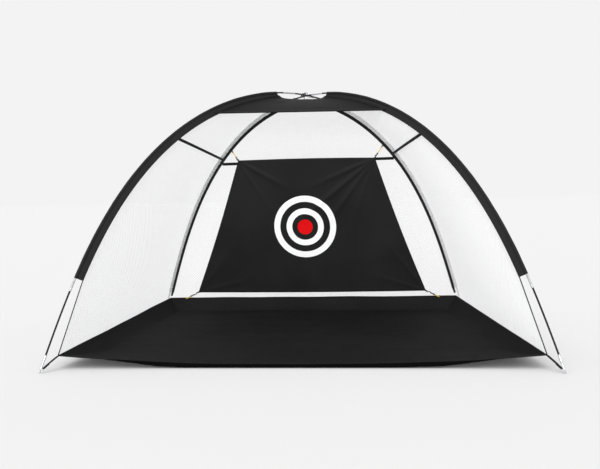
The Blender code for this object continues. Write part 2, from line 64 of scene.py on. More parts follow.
# ---------- dimensions shared with the CAD model
FRONT_SPAN = 3.000
REAR_SPAN = 2.580
FOOT_DEPTH = 1.950
CROWN_HEIGHT = 1.750
CROWN_LEAN = 0.260
SECTION_COUNT = 10
ROD_RADIUS = 0.0055
BORE_RADIUS = 0.0029
FERRULE_RADIUS = 0.0066
FERRULE_REACH = 0.050
TIP_LENGTH = 0.080
TIP_START = 0.014
POLE_STACK = 0.0062
EYE_HEIGHT = 0.0076
SLEEVE_DEPTH = 0.050          # pole centre to the sleeve's sewn edge
PANEL_DEPTH = SLEEVE_DEPTH + 0.0015
FRONT_SLEEVE = (0.556, 2.545)
REAR_SLEEVE = (2.930, 5.080)
HEADER_SPAN = (1.990, 2.535)
SIDE_TAPE_FRONT = 1.662
SIDE_TAPE_REAR = 3.740
REAR_TAPE = 3.785
SHEET_FRONT = (1.435, -0.870, 0.074)
SHEET_REAR = (1.235, 0.930, 0.102)
REAR_HOLD = (1.188, 0.888, 0.038)      # the underside of the sheet, where the rear strap is sewn
SHEET_SAG = 0.020
FRONT_LIFT = 0.420
LIP_WIDTH = 0.110
SHEET_DEPTH = SHEET_REAR[1] - SHEET_FRONT[1]
RING_RADIUS = 0.0120
WIRE_RADIUS = 0.0017
EYE_RADIUS = 0.0056
HOOK_LENGTH = 0.042
HANGER_GAP = 0.006
TIE_RADIUS = 0.0018
WRAP_WIDE = 0.0185
WRAP_HIGH = 0.0180
TIE_END_LEFT = ((-0.001, -0.0245, 0.004), (0.008, -0.027, 0.014), (0.020, -0.027, 0.018),
                (0.031, -0.026, 0.008))    # from the crossing of the poles
TIE_END_RIGHT = ((0.002, -0.0235, -0.002), (0.006, -0.028, -0.014), (0.009, -0.033, -0.040))
TARGET_TOP = (0.538, 0.510, 1.271)
TARGET_BOTTOM = (0.972, 0.880, 0.160)
UPPER_ANCHOR = 3.620
LOWER_ANCHOR = (1.090, 0.905, 0.100)
NET_SHIFT = 0.0028
NET_SAG = 0.014
GAP = 0.0003

# ---------- sizes of the finish
NET_MESH = 0.016              # knot to knot, with the net hung as diamonds
TWINE_RADIUS = 0.0011
TAPE_SAG = 0.006              # the tapes are tighter than the net between them
TAPE_SHARE = 0.36             # where the side tape holds the net, from the top down
SEAM_DEPTH = SLEEVE_DEPTH - 0.006      # pole centre to the seams of nets and tapes
SLEEVE_ROUND = 0.0086         # outer radius of the cloth round the pole
SLEEVE_HOLLOW = 0.0070
SLEEVE_WIDTH = 0.059          # from the pole's far side to the sewn edge
SLEEVE_HEM = 0.018            # from a mouth of the sleeve to its line of stitches
ROUND_ANGLES = [math.radians(a) for a in (180, 158, 135, 112, 90, 68, 48)]
MOUTH_SLANT = 0.024           # how far the mouth at the crown is cut back
MOUTH_REACH = 0.060           # length of sleeve that the slanted cut pulls with it
COVER_LENGTH = 0.040          # of the black cover over the end of each elastic
SHADOW_BAND_REACH = 1.180           # half the length of the near-black band hung under the sheet's front edge as painted shadow
SHADOW_BAND_HEIGHT = 0.026
SEAM_TAPE = 0.026             # black tape on the inside of the rear sleeves
BULLSEYE_RADIUS = 0.274       # upwards; the print is narrower by the squash
BULLSEYE_SQUASH = 1.075
RING_STEPS = (0.245, 0.418, 0.602, 0.807, 1.0)    # where the print changes colour, from the middle
BULLSEYE_LEFT = 0.028         # the print sits this far left of the cloth's middle
BULLSEYE_DROP = 0.580         # from the cloth's top edge to the middle of the bullseye


# ---------- shader helpers

def new_material(name, colour, roughness, metallic=0.0, sheen=0.0, gloss=0.5):
    made = bpy.data.materials.new(name)
    made.use_nodes = True
    shader = made.node_tree.nodes["Principled BSDF"]
    shader.inputs["Base Color"].default_value = (*colour, 1.0)
    shader.inputs["Roughness"].default_value = roughness
    shader.inputs["Metallic"].default_value = metallic
    shader.inputs["Sheen Weight"].default_value = sheen
    shader.inputs["Specular IOR Level"].default_value = gloss
    return made


class Nodes:
    """Short ways to add and join shader nodes of one material."""

    def __init__(self, made):
        self.tree = made.node_tree
        self.shader = self.tree.nodes["Principled BSDF"]

    def add(self, kind, **values):
        node = self.tree.nodes.new(kind)
        for key, value in values.items():
            if key in node.inputs:
                node.inputs[key].default_value = value
            else:
                setattr(node, key, value)
        return node

    def join(self, source, target):
        self.tree.links.new(source, target)

    def math(self, operation, first, second=None):
        node = self.add("ShaderNodeMath", operation=operation)
        for slot, value in enumerate((first, second)):
            if value is None:
                continue
            if isinstance(value, (int, float)):
                node.inputs[slot].default_value = value
            else:
                self.join(value, node.inputs[slot])
        return node.outputs[0]

    def coords(self, which="UV", scale=(1, 1, 1)):
        place = self.add("ShaderNodeTexCoord")
        mapping = self.add("ShaderNodeMapping")
        mapping.inputs["Scale"].default_value = scale
        self.join(place.outputs[which], mapping.inputs["Vector"])
        return mapping.outputs[0]

    def noise(self, vector, scale, detail=3.0):
        node = self.add("ShaderNodeTexNoise", Scale=scale, Detail=detail)
        self.join(vector, node.inputs["Vector"])
        return node.outputs["Fac"]

    def wave(self, vector, scale, direction, distortion=0.0):
        node = self.add("ShaderNodeTexWave", Scale=scale, Distortion=distortion, bands_direction=direction)
        self.join(vector, node.inputs["Vector"])
        return node.outputs["Fac"]

    def ramp(self, factor, stops):
        node = self.add("ShaderNodeValToRGB")
        while len(node.color_ramp.elements) < len(stops):
            node.color_ramp.elements.new(0.5)
        for element, (place, colour) in zip(node.color_ramp.elements, stops):
            element.position = place
            element.color = (*colour, 1.0)
        self.join(factor, node.inputs["Fac"])
        return node.outputs["Color"]

    def colour(self, factor, stops):
        self.join(self.ramp(factor, stops), self.shader.inputs["Base Color"])

    def bump(self, height, strength, distance):
        node = self.add("ShaderNodeBump", Strength=strength, Distance=distance)
        self.join(height, node.inputs["Height"])
        self.join(node.outputs[0], self.shader.inputs["Normal"])

    def weave(self, uv, ribs, strength, depth):
        """Warp and weft ribs, raised."""
        warp, weft = self.wave(uv, ribs, "X", 0.4), self.wave(uv, ribs, "Y", 0.4)
        self.bump(self.math("ADD", warp, weft), strength, depth)
        return warp, weft

    def roughness(self, factor, low, high):
        node = self.add("ShaderNodeMapRange")
        node.inputs["To Min"].default_value = low
        node.inputs["To Max"].default_value = high
        self.join(factor, node.inputs["Value"])
        self.join(node.outputs[0], self.shader.inputs["Roughness"])


def grey(value):
    return (value, value, value * 1.03)


def woven(name, dark, light, pitch, roughness, sheen, gloss):
    """Plain-weave cloth: warp and weft ribs at a pitch in metres, with slow shade changes."""
    made = new_material(name, light, roughness, sheen=sheen, gloss=gloss)
    n = Nodes(made)
    uv = n.coords("UV")
    crossed = n.math("MULTIPLY", *n.weave(uv, 1.0 / (pitch * 20.0) * math.pi, 0.35, pitch * 0.6))
    slow = n.noise(uv, 1.6, 4.0)
    mix = n.math("ADD", n.math("MULTIPLY", crossed, 0.35), n.math("MULTIPLY", slow, 0.75))
    n.colour(mix, ((0.15, dark), (0.85, light)))
    n.roughness(slow, roughness - 0.12, roughness + 0.1)
    return made


OXFORD = woven("black_oxford", grey(0.007), grey(0.016), 0.0011, 0.62, 0.03, 0.20)
# Painted shade: the header is the same black oxford as the sleeves, coloured darker because it faces up to
# the bright sky and would otherwise read lighter.
HEADER_SHADED_OXFORD = woven("header_oxford_painted_shade", grey(0.0035), grey(0.008), 0.0011, 0.66, 0.0, 0.12)
SHEETING = woven("ground_sheeting", grey(0.008), grey(0.018), 0.0013, 0.75, 0.0, 0.03)
# Painted shadow: near-black cloth, darker than the webbing, for the band that stands for the shade under
# the sheet's front edge.
SHADOW_BAND_CLOTH = woven("ground_sheet_painted_shadow", grey(0.0012), grey(0.0035), 0.0013, 0.8, 0.0, 0.03)
TARGET_BACK = woven("target_cloth_back", grey(0.006), grey(0.013), 0.0011, 0.66, 0.0, 0.15)
WEBBING = woven("black_webbing", grey(0.004), grey(0.011), 0.0022, 0.75, 0.02, 0.15)


def fibreglass():
    """Black rod with fine streaks along its length."""
    made = new_material("black_fibreglass", grey(0.006), 0.3, gloss=0.2)
    n = Nodes(made)
    streaks = n.noise(n.coords("UV", (6, 900, 1)), 1.0, 5.0)
    n.colour(streaks, ((0.3, grey(0.004)), (0.75, grey(0.012))))
    n.roughness(streaks, 0.22, 0.42)
    n.bump(streaks, 0.15, 0.0004)
    return made


def plated_steel():
    """Bright steel, clouded, with fine drawn streaks."""
    made = new_material("bright_steel", (0.62, 0.63, 0.66), 0.25, metallic=1.0)
    n = Nodes(made)
    streaks = n.noise(n.coords("UV", (30, 1200, 1)), 1.0, 4.0)
    cloud = n.noise(n.coords("Object"), 60.0, 3.0)
    n.colour(cloud, ((0.3, (0.50, 0.51, 0.54)), (0.7, (0.72, 0.73, 0.76))))
    n.roughness(streaks, 0.18, 0.38)
    n.bump(streaks, 0.1, 0.0003)
    return made


def net_twine():
    """White nylon. It is thin enough to pass light on, which a little emission stands in for."""
    made = new_material("white_twine", (0.92, 0.92, 0.93), 0.6, sheen=0.2)
    n = Nodes(made)
    n.shader.inputs["Emission Color"].default_value = (1.0, 1.0, 1.0, 1.0)
    n.shader.inputs["Emission Strength"].default_value = 0.21
    fuzz = n.noise(n.coords("Object"), 900.0, 2.0)
    n.colour(fuzz, ((0.3, (0.80, 0.80, 0.82)), (0.7, (0.92, 0.92, 0.93))))
    n.bump(fuzz, 0.3, 0.0003)
    return made


def braid(name, dark, light, strands):
    """Braided cord: two diagonal families of strands, from the tube's own lengths."""
    made = new_material(name, light, 0.6, sheen=0.3)
    n = Nodes(made)
    uv = n.coords("UV", (strands, strands, 1))
    one = n.wave(uv, 1.0, "DIAGONAL")
    flipped = n.wave(n.coords("UV", (-strands, strands, 1)), 1.0, "DIAGONAL")
    both = n.math("MAXIMUM", one, flipped)
    n.colour(both, ((0.35, dark), (0.85, light)))
    n.bump(both, 0.5, 0.0005)
    return made


def target_print():
    """Black cloth with the bullseye printed on it: white, black, white, black and a red middle."""
    made = new_material("target_print", grey(0.02), 0.62, sheen=0.03, gloss=0.18)
    n = Nodes(made)
    uv = n.coords("UV")
    length = n.add("ShaderNodeVectorMath", operation="LENGTH")
    n.join(uv, length.inputs[0])
    share = n.math("DIVIDE", length.outputs["Value"], BULLSEYE_RADIUS)
    n.weave(uv, 140.0, 0.25, 0.0006)
    slow = n.noise(uv, 2.2, 4.0)
    black = n.ramp(slow, ((0.25, grey(0.0065)), (0.8, grey(0.0125))))
    white = n.ramp(slow, ((0.2, (0.93, 0.93, 0.94)), (0.8, (0.99, 0.99, 0.99))))
    red = n.ramp(slow, ((0.2, (0.68, 0.0, 0.002)), (0.8, (0.76, 0.0, 0.002))))
    printed = black
    inks = (white, black, white, black, red)
    for reach, ink in zip(reversed(RING_STEPS), inks):
        mix = n.add("ShaderNodeMix", data_type="RGBA")
        n.join(n.math("LESS_THAN", share, reach), mix.inputs["Factor"])
        n.join(printed, mix.inputs["A"])
        n.join(ink, mix.inputs["B"])
        printed = mix.outputs["Result"]
    n.join(printed, n.shader.inputs["Base Color"])
    n.roughness(slow, 0.5, 0.7)
    return made


def moulded():
    """Black nylon with a fine moulded grain."""
    made = new_material("black_nylon", grey(0.006), 0.4, gloss=0.3)
    n = Nodes(made)
    grain = n.noise(n.coords("Object"), 700.0, 2.0)
    n.colour(grain, ((0.3, grey(0.004)), (0.7, grey(0.009))))
    n.bump(grain, 0.2, 0.0003)
    return made


FIBREGLASS = fibreglass()
STEEL = plated_steel()
TWINE = net_twine()
TARGET = target_print()
NYLON = moulded()
YELLOW = braid("yellow_elastic_braid", (0.46, 0.28, 0.01), (0.82, 0.55, 0.04), 700.0)
CORD = braid("black_cord_braid", grey(0.003), grey(0.010), 800.0)
PALE_CORD = braid("pale_shock_cord_braid", (0.5, 0.5, 0.5), (0.85, 0.85, 0.85), 800.0)


# ---------- mesh helpers

def unit(vectors):
    """One vector, or each row of an array, at length one."""
    if vectors.ndim == 1:
        return vectors / np.linalg.norm(vectors)
    return vectors / np.maximum(np.linalg.norm(vectors, axis=1)[:, None], 1e-9)


def lengths_along(line):
    """The distance travelled at each point of a line."""
    return np.concatenate([[0], np.cumsum(np.linalg.norm(np.diff(line, axis=0), axis=1))])


def line_at(places, along, line):
    """Points of a line at given places along it."""
    return np.stack([np.interp(places, along, line[:, k]) for k in range(3)], -1)


def uv_grid(down, across):
    """Cloth coordinates in metres, from a column of row places and a row of column places."""
    return np.stack(np.broadcast_arrays(down, across), -1)


def arc(centre, radius, turn, one, other):
    """Points round a centre at the angles in turn, in the plane of two directions."""
    return centre + radius * (np.cos(turn)[:, None] * one + np.sin(turn)[:, None] * other)


def full_turn(count):
    return np.arange(count) * 2 * math.pi / count


def tube_points(line, radius, turn, one, other):
    """Rings round a whole line, with two directions at each of its points."""
    ray = np.cos(turn)[None, :, None] * one[:, None, :] + np.sin(turn)[None, :, None] * other[:, None, :]
    return (line[:, None, :] + radius * ray).reshape(-1, 3)


def add_object(name, data):
    made = bpy.data.objects.new(name, data)
    SCENE.collection.objects.link(made)
    return made


def make_mesh(name, points, faces, look, uv=None, smooth=True):
    mesh = bpy.data.meshes.new(name)
    mesh.from_pydata([tuple(p) for p in points], [], [tuple(f) for f in faces])
    if uv is not None:
        layer = mesh.uv_layers.new(name="metres")
        corners = np.zeros(len(mesh.loops), np.int32)
        mesh.loops.foreach_get("vertex_index", corners)
        layer.data.foreach_set("uv", np.asarray(uv, np.float32)[corners].ravel())
    mesh.materials.append(look)
    if smooth:
        mesh.shade_smooth()
    return add_object(name, mesh)


def grid_faces(rows, columns, wrap_columns=False, wrap_rows=False, start=0):
    """Quads over a grid of points numbered row by row, closed across or down where it wraps."""
    i = np.arange(rows if wrap_rows else rows - 1)[:, None]
    j = np.arange(columns if wrap_columns else columns - 1)[None, :]
    low = i * columns
    high = ((i + 1) % rows) * columns
    k = (j + 1) % columns
    return np.stack([low + j, low + k, high + k, high + j], -1).reshape(-1, 4) + start


def grid_places(rows, columns):
    """Each cell of a grid: its row and column, and both as shares from 0 to 1."""
    for i in range(rows):
        for j in range(columns):
            yield i, j, i / (rows - 1), j / (columns - 1)


def empty_grid(rows, columns):
    """Places and cloth coordinates of a grid, still to be filled."""
    return np.zeros((rows, columns, 3)), np.zeros((rows, columns, 2))


def cloth(name, points, uv, look, thickness=0.0012):
    """A sheet of cloth from a grid of points, given its thickness by Solidify."""
    rows, columns = points.shape[:2]
    made = make_mesh(name, points.reshape(-1, 3), grid_faces(rows, columns), look, uv.reshape(-1, 2))
    solid = made.modifiers.new("thickness", "SOLIDIFY")
    solid.thickness = thickness
    solid.offset = 0.0
    return made


def ring_tube(name, rings, look, looped=False, uv=None):
    """Skin rings of equal counts; open ends are capped."""
    rings = np.asarray(rings, float)
    rows, columns = rings.shape[:2]
    faces = [tuple(f) for f in grid_faces(rows, columns, True, looped)]
    if not looped:
        faces.append(tuple(range(columns - 1, -1, -1)))
        faces.append(tuple(range((rows - 1) * columns, rows * columns)))
    return make_mesh(name, rings.reshape(-1, 3), faces, look, uv)


def tube_rings(path, radii, sides):
    """Rings of a round tube along a path, turned as little as possible."""
    path = np.asarray(path, float)
    along = unit(np.gradient(path, axis=0))
    side = np.cross(along[0], [0.31, 0.22, 0.93])
    turn = full_turn(sides)
    rings = []
    for point, forward, radius in zip(path, along, radii):
        side = unit(side - forward * side.dot(forward))
        rings.append(arc(point, radius, turn, side, np.cross(forward, side)))
    uv = uv_grid(lengths_along(path)[:, None], turn[None, :] * max(radii))
    return np.array(rings), uv.reshape(-1, 2)


def tube(name, path, radius, look, sides=12):
    radii = [radius] * len(path) if isinstance(radius, float) else radius
    rings, marks = tube_rings(path, radii, sides)
    return ring_tube(name, rings, look, uv=marks)


def smooth_path(points, count):
    """A smooth curve through given points, as `count` points at equal distances."""
    points = np.asarray(points, float)
    padded = np.vstack([2 * points[0] - points[1], points, 2 * points[-1] - points[-2]])
    fine = []
    for k in range(len(points) - 1):
        p0, p1, p2, p3 = padded[k:k + 4]
        for t in np.linspace(0, 1, 24, endpoint=False):
            fine.append(0.5 * (2 * p1 + (p2 - p0) * t + (2 * p0 - 5 * p1 + 4 * p2 - p3) * t ** 2
                               + (3 * p1 - p0 - 3 * p2 + p3) * t ** 3))
    fine.append(points[-1])
    return even(np.array(fine), count)


def even(line, count):
    """The same line as `count` points at equal distances."""
    line = np.asarray(line, float)
    along = lengths_along(line)
    return line_at(np.linspace(0, along[-1], count), along, line)


def ribbon(name, line, across, width, look, thickness=0.0014, rows=5):
    """A flat strap along a line; across is the direction of its width, one for all or one each."""
    line = np.asarray(line, float)
    across = np.broadcast_to(np.asarray(across, float), line.shape)
    forward = unit(np.gradient(line, axis=0))
    level = unit(across - forward * (across * forward).sum(1)[:, None])
    places = np.linspace(-0.5, 0.5, rows) * width
    points = line[:, None, :] + level[:, None, :] * places[None, :, None]
    return cloth(name, points, uv_grid(lengths_along(line)[:, None], places[None, :]), look, thickness)


def riding(piece, body, slot, *nodes):
    """Put a piece on its body and hide the CAD nodes that it stands for; the slot is not used."""
    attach(piece, body)
    if nodes:
        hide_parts(*nodes)
    return piece


def ripple(x, y, z=0.0):
    """Smooth noise between -1 and 1, the same on every run."""
    return noise.noise(Vector((x, y, z)))


# ---------- the bent poles

def bow_shape(span, rise, steps=1200):
    """A springy rod bent between two feet: its slope follows a cosine along its length."""
    low, high = 0.2, 2.0
    turn = np.cos(math.pi * (np.arange(steps) + 0.5) / steps)
    for _ in range(60):
        slope = (low + high) / 2
        run = np.concatenate([[0], np.cumsum(np.cos(slope * turn))])
        height = np.concatenate([[0], np.cumsum(np.sin(slope * turn))])
        if height.max() / run[-1] > rise / span:
            high = slope
        else:
            low = slope
    scale = span / run[-1]
    return run * scale, height * scale, scale * steps


class Pole:
    """The centre line of one pole, from a front foot to the opposite rear foot."""

    def __init__(self, side, crown):
        front = np.array([side * FRONT_SPAN / 2, -FOOT_DEPTH / 2, 0.0])
        rear = np.array([-side * REAR_SPAN / 2, FOOT_DEPTH / 2, 0.0])
        chord = rear - front
        span = np.linalg.norm(chord)
        rise = crown - EYE_HEIGHT
        run, height, self.length = bow_shape(span, rise)
        self.curve = front + chord * (run / span)[:, None]
        self.curve[:, 1] += CROWN_LEAN * height / rise
        self.curve[:, 2] += height + EYE_HEIGHT
        plane = unit(np.cross(chord, [0, CROWN_LEAN, rise]))
        self.outward = plane if plane[1] < 0 else -plane
        self.along = unit(np.gradient(self.curve, axis=0))
        inward = unit(np.cross(self.outward, self.along))
        middle = len(inward) // 2
        self.inward = inward if inward[middle, 2] < 0 else -inward
        self.places = np.linspace(0, self.length, len(self.curve))
        self.joints = [self.length * k / SECTION_COUNT for k in range(SECTION_COUNT + 1)]

    def frame(self, s):
        """Point, direction and inward normal at a distance from the front foot."""
        return [line_at(s, self.places, rows) for rows in (self.curve, self.along, self.inward)]

    def edge(self, s, shift, depth=PANEL_DEPTH):
        """A place beside the pole: depth towards the inside of the dome, shift towards its front."""
        point, _, inward = self.frame(s)
        return point + inward * depth + self.outward * shift

    def edge_line(self, start, end, shift, count, depth=PANEL_DEPTH):
        return np.array([self.edge(s, shift, depth) for s in np.linspace(start, end, count)])

    def profile_tube(self, name, profile, look, sides=20):
        """A turned shape bent along the pole, from (distance, radius) pairs out and back by its bore."""
        turn = full_turn(sides)
        rings = []
        for s, radius in profile:
            point, along, inward = self.frame(s)
            rings.append(arc(point, radius, turn, inward, np.cross(along, inward)))
        uv = uv_grid(np.array(profile)[:, :1], turn[None, :] * ROD_RADIUS)
        return ring_tube(name, rings, look, True, uv.reshape(-1, 2))


POLE_A = Pole(-1, CROWN_HEIGHT + POLE_STACK)
POLE_B = Pole(1, CROWN_HEIGHT - POLE_STACK)
POLES = {"a": POLE_A, "b": POLE_B}
SIDES = ((-1, "left", POLE_A, POLE_B), (1, "right", POLE_B, POLE_A))


def build_poles():
    """Rods, ferrules and foot tips. The shock cords inside stay the CAD's own, with a braided look."""
    for key, pole in POLES.items():
        for index in range(SECTION_COUNT):
            start = pole.joints[index] + 0.0004
            end = pole.joints[index + 1] - 0.0004
            if index == 0:
                start = TIP_START
            if index == SECTION_COUNT - 1:
                end = pole.length - TIP_START
            profile = [(s, ROD_RADIUS) for s in np.linspace(start, end, 24)]
            profile += [(s, BORE_RADIUS) for s in np.linspace(end, start, 24)]
            node = "pole_%s_section_%02d" % (key, index + 1)
            rod = pole.profile_tube("pole_%s_rod_%02d" % (key, index + 1), profile, FIBREGLASS)
            riding(rod, "root", "fibreglass", node)
        for index in range(1, SECTION_COUNT):
            middle = pole.joints[index]
            build_ferrule(pole, "pole_%s_ferrule_%02d" % (key, index), middle - FERRULE_REACH,
                          middle + FERRULE_REACH, (0.12, 0.88))
        tips = (("front", TIP_START), ("rear", pole.length - TIP_START - TIP_LENGTH))
        for word, start in tips:
            build_ferrule(pole, "pole_%s_tip_%s" % (key, word), start, start + TIP_LENGTH, (0.5,))
        cord_looks = frame["nodes"]["shock_cord_" + key].data.materials
        cord_looks.clear()
        cord_looks.append(PALE_CORD)


def build_ferrule(pole, name, start, end, crimps):
    """A steel collar with rolled ends and crimped rings."""
    length = end - start
    profile = [(start, ROD_RADIUS + 0.0002), (start + 0.0006, FERRULE_RADIUS - 0.0002)]
    for s in np.linspace(start + 0.0012, end - 0.0012, 60):
        share = (s - start) / length
        dent = max(math.exp(-((share - c) * length / 0.0014) ** 2) for c in crimps)
        profile.append((s, FERRULE_RADIUS - 0.00055 * dent))
    profile += [(end - 0.0006, FERRULE_RADIUS - 0.0002), (end, ROD_RADIUS + 0.0002)]
    profile += [(s, ROD_RADIUS + 0.0001) for s in np.linspace(end, start, 12)]
    riding(pole.profile_tube(name, profile, STEEL, 28), "root", "steel")


# ---------- pole sleeves

def sleeve_outline():
    """Half widths of the sleeve's cross-section, from the pole's far side to the sewn edge."""
    band = [(0.0096, 0.0040), (0.0126, 0.0017), (0.0140, 0.0009), (0.0156, 0.0015), (0.0220, 0.0017),
            (0.0290, 0.0017), (0.0360, 0.0017), (0.0430, 0.0016), (0.0470, 0.0013), (0.0484, 0.0008),
            (0.0505, 0.0010)]
    return [(SLEEVE_ROUND * math.cos(a), SLEEVE_ROUND * math.sin(a)) for a in ROUND_ANGLES] + band


def there_and_back(items):
    """Each item with sign 1, then back again with sign -1, without meeting the first twice."""
    return [(item, 1) for item in items] + [(item, -1) for item in items[:0:-1]]


def build_sleeve(pole, name, start, end, crown):
    """Two layers of cloth round the pole, with a sewn channel, puckers and hemmed mouths.

    The mouth at the crown is cut on a slant, longer on the sewn edge than on the pole.
    """
    outline = sleeve_outline()
    from_end = 1.0 if crown == end else -1.0

    def slant(s, n):
        near = max(0.0, 1.0 - abs(crown - s) / MOUTH_REACH)
        return -from_end * MOUTH_SLANT * near * (1.0 - (n + SLEEVE_ROUND) / SLEEVE_WIDTH)

    rest = np.linspace(math.radians(44), math.radians(4), len(outline) - len(ROUND_ANGLES))
    bore_angles = there_and_back(ROUND_ANGLES + list(rest))
    rings, uv = [], []
    for s in np.linspace(start, end, int((end - start) / 0.011)):
        point, along, inward = pole.frame(s)
        from_mouth = min(s - start, end - s)
        hem = math.exp(-((from_mouth - SLEEVE_HEM) / 0.0016) ** 2)
        mouth = 0.0006 if from_mouth < SLEEVE_HEM else 0.0
        wrinkle = math.sin(s * 2 * math.pi / 0.021 + 2.5 * ripple(s * 9, 1.0))
        ring = []
        for (k, (n, b)), sign in there_and_back(list(enumerate(outline))):
            loose = 0.0009 * ripple(s * 14, k * 0.45, sign * 3.1 + 7.0)
            pucker = 0.0006 * wrinkle * (0.010 < n < 0.047)
            lift = b + (loose + pucker) * (0.3 if n > 0.046 else 1.0) + mouth - 0.0006 * hem
            lift = max(lift, 0.0005) if n > -0.0080 else b
            depth = n - (loose if n < 0 else 0.0)
            ring.append(point + along * slant(s, n) + inward * depth + pole.outward * (sign * lift))
            uv.append((s, sign * (0.06 + n)))
        rings.append(ring)
    for s in np.linspace(end, start, 60):
        point, along, inward = pole.frame(s)
        ring = []
        for t, sign in bore_angles:
            cut = along * slant(s, SLEEVE_HOLLOW * math.cos(t))
            ray = inward * math.cos(t) + pole.outward * (sign * math.sin(t))
            ring.append(point + cut + SLEEVE_HOLLOW * ray)
        uv += uv[:len(ring)]
        rings.append(ring)
    return riding(ring_tube(name, rings, OXFORD, True, np.array(uv)), "root", "oxford_cloth", name)


def build_seam_tape(pole, name, start, end, shift, foot):
    """Tape over the seam where the net is sewn to a sleeve."""
    middle = SLEEVE_DEPTH + 0.001 - SEAM_TAPE / 2
    stops = np.linspace(start, end, 140)
    line = np.array([pole.edge(s, shift, middle) for s in stops])
    across = np.array([pole.frame(s)[2] for s in stops])
    line = np.vstack([line, line[-1] * 0.4 + foot * 0.6])
    across = np.vstack([across, across[-1]])
    return riding(ribbon(name, line, across, SEAM_TAPE, WEBBING, 0.0012), "root", "webbing")


def build_sleeves():
    for side, word, front_pole, rear_pole in SIDES:
        build_sleeve(front_pole, "sleeve_front_" + word, *FRONT_SLEEVE, FRONT_SLEEVE[1])
        build_sleeve(rear_pole, "sleeve_rear_" + word, *REAR_SLEEVE, REAR_SLEEVE[0])
        build_seam_tape(rear_pole, "seam_tape_rear_" + word, REAR_SLEEVE[0] + 0.02, REAR_SLEEVE[1], 0.0044,
                        corner(side, SHEET_REAR))


# ---------- net walls

def corner(side, place):
    return np.array([side * place[0], place[1], place[2]])


def net_front_line(side, pole):
    """From the crown down the front sleeve, then straight to the ground sheet's corner."""
    line = pole.edge_line(FRONT_SLEEVE[1], FRONT_SLEEVE[0], -NET_SHIFT, 60, SEAM_DEPTH)
    foot = corner(side, SHEET_FRONT) + [-side * 0.002, 0.004, 0.003]
    return np.vstack([line, foot])


def net_rear_line(side, pole, shift, inset, depth):
    line = pole.edge_line(REAR_SLEEVE[0], REAR_SLEEVE[1], shift, 60, depth)
    return np.vstack([line[:-1], corner(side, SHEET_REAR) + inset])


class Wall:
    """A net wall between two edge lines: flat cut coordinates on to the hung surface.

    A wall held by a tape sags in two bays, above and below it; held is the tape's share of the height.
    """

    def __init__(self, left, right, sag, held=0.0):
        rows = 160
        self.left = even(left, rows)
        self.right = even(right, rows)
        self.sag = np.asarray(sag, float)
        self.width = np.linalg.norm(self.right - self.left, axis=1)
        self.depth = lengths_along((self.left + self.right) / 2)
        self.share = np.linspace(0, 1, rows)
        self.held = held
        self.slack = TAPE_SAG / NET_SAG if held > 0 else 0.0

    def place(self, p, q):
        """Surface points for arrays of distances across from the middle line and down from the top."""
        left, right = line_at(q, self.depth, self.left), line_at(q, self.depth, self.right)
        f = np.clip(0.5 + p / np.interp(q, self.depth, self.width), 0, 1)
        v = np.interp(q, self.depth, self.share)
        below = np.sin(math.pi * np.clip((v - self.held) / (1 - self.held), 0, 1))
        above = 0.4 * np.sin(math.pi * np.clip(v / max(self.held, 1e-6), 0, 1))
        bend = np.sin(math.pi * f) * (below + above + self.slack * v * (1 - v) * 4)
        return left + (right - left) * f[:, None] + self.sag * bend[:, None]

    def inside(self, p, q):
        return (q >= 0) & (q <= self.depth[-1]) & (np.abs(p) <= np.interp(q, self.depth, self.width) / 2)

    def area(self):
        return float(np.sum((self.width[1:] + self.width[:-1]) / 2 * np.diff(self.depth)))


def diamond_runs(wall, mesh):
    """Straight runs of twine on the flat cut, each a list of knots clipped at the cut's edges."""
    step = mesh / math.sqrt(2)
    rows = int(wall.depth[-1] / step) + 2
    reach = int(wall.width.max() / 2 / step) + rows + 2
    j = np.arange(-1, rows + 1)
    for slant in (1, -1):
        for k in range(-reach, reach + 1, 2):
            knots = np.stack([(k + slant * j) * step, j * step], -1)
            held = wall.inside(*knots.T).astype(int)
            edges = np.flatnonzero(np.diff(np.concatenate([[0], held, [0]])))
            for first, last in zip(edges[::2], edges[1::2] - 1):
                run = list(knots[first:last + 1])
                if first > 0:
                    run.insert(0, cut_edge(wall, run[0], knots[first - 1]))
                if last < len(knots) - 1:
                    run.append(cut_edge(wall, run[-1], knots[last + 1]))
                if len(run) > 1:
                    yield np.array(run)


def cut_edge(wall, inner, outer):
    """Where a run of twine from inside the cut to outside it meets the edge."""
    low, high = 0.0, 1.0
    for _ in range(12):
        t = (low + high) / 2
        if wall.inside(*(inner + (outer - inner) * t)):
            low = t
        else:
            high = t
    return inner + (outer - inner) * max(low, 0.02)


def build_net(name, wall):
    """Knotless netting: every strand is real geometry, laid over the wall's hung surface."""
    points, faces = [], []
    count = 0
    turn = full_turn(3)
    delta = 1e-3
    for run in diamond_runs(wall, NET_MESH):
        p, q = run.T
        line = wall.place(p, q)
        over = wall.place(p + delta, q) - line
        down = wall.place(p, q + delta) - wall.place(p, q - delta)
        normal = np.cross(over, down)
        size = np.linalg.norm(normal, axis=1)[:, None]
        normal = np.where(size > 1e-12, normal / np.maximum(size, 1e-12), [0, 0, 1])
        along = unit(np.gradient(line, axis=0))
        side = unit(np.cross(along, normal))
        up = np.cross(side, along)
        points.append(tube_points(line, TWINE_RADIUS, turn, up, side))
        faces.append(grid_faces(len(line), len(turn), True, False, count))
        count += len(line) * len(turn)
    made = make_mesh(name, np.concatenate(points), np.concatenate(faces).tolist(), TWINE)
    return riding(made, "root", "netting", name)


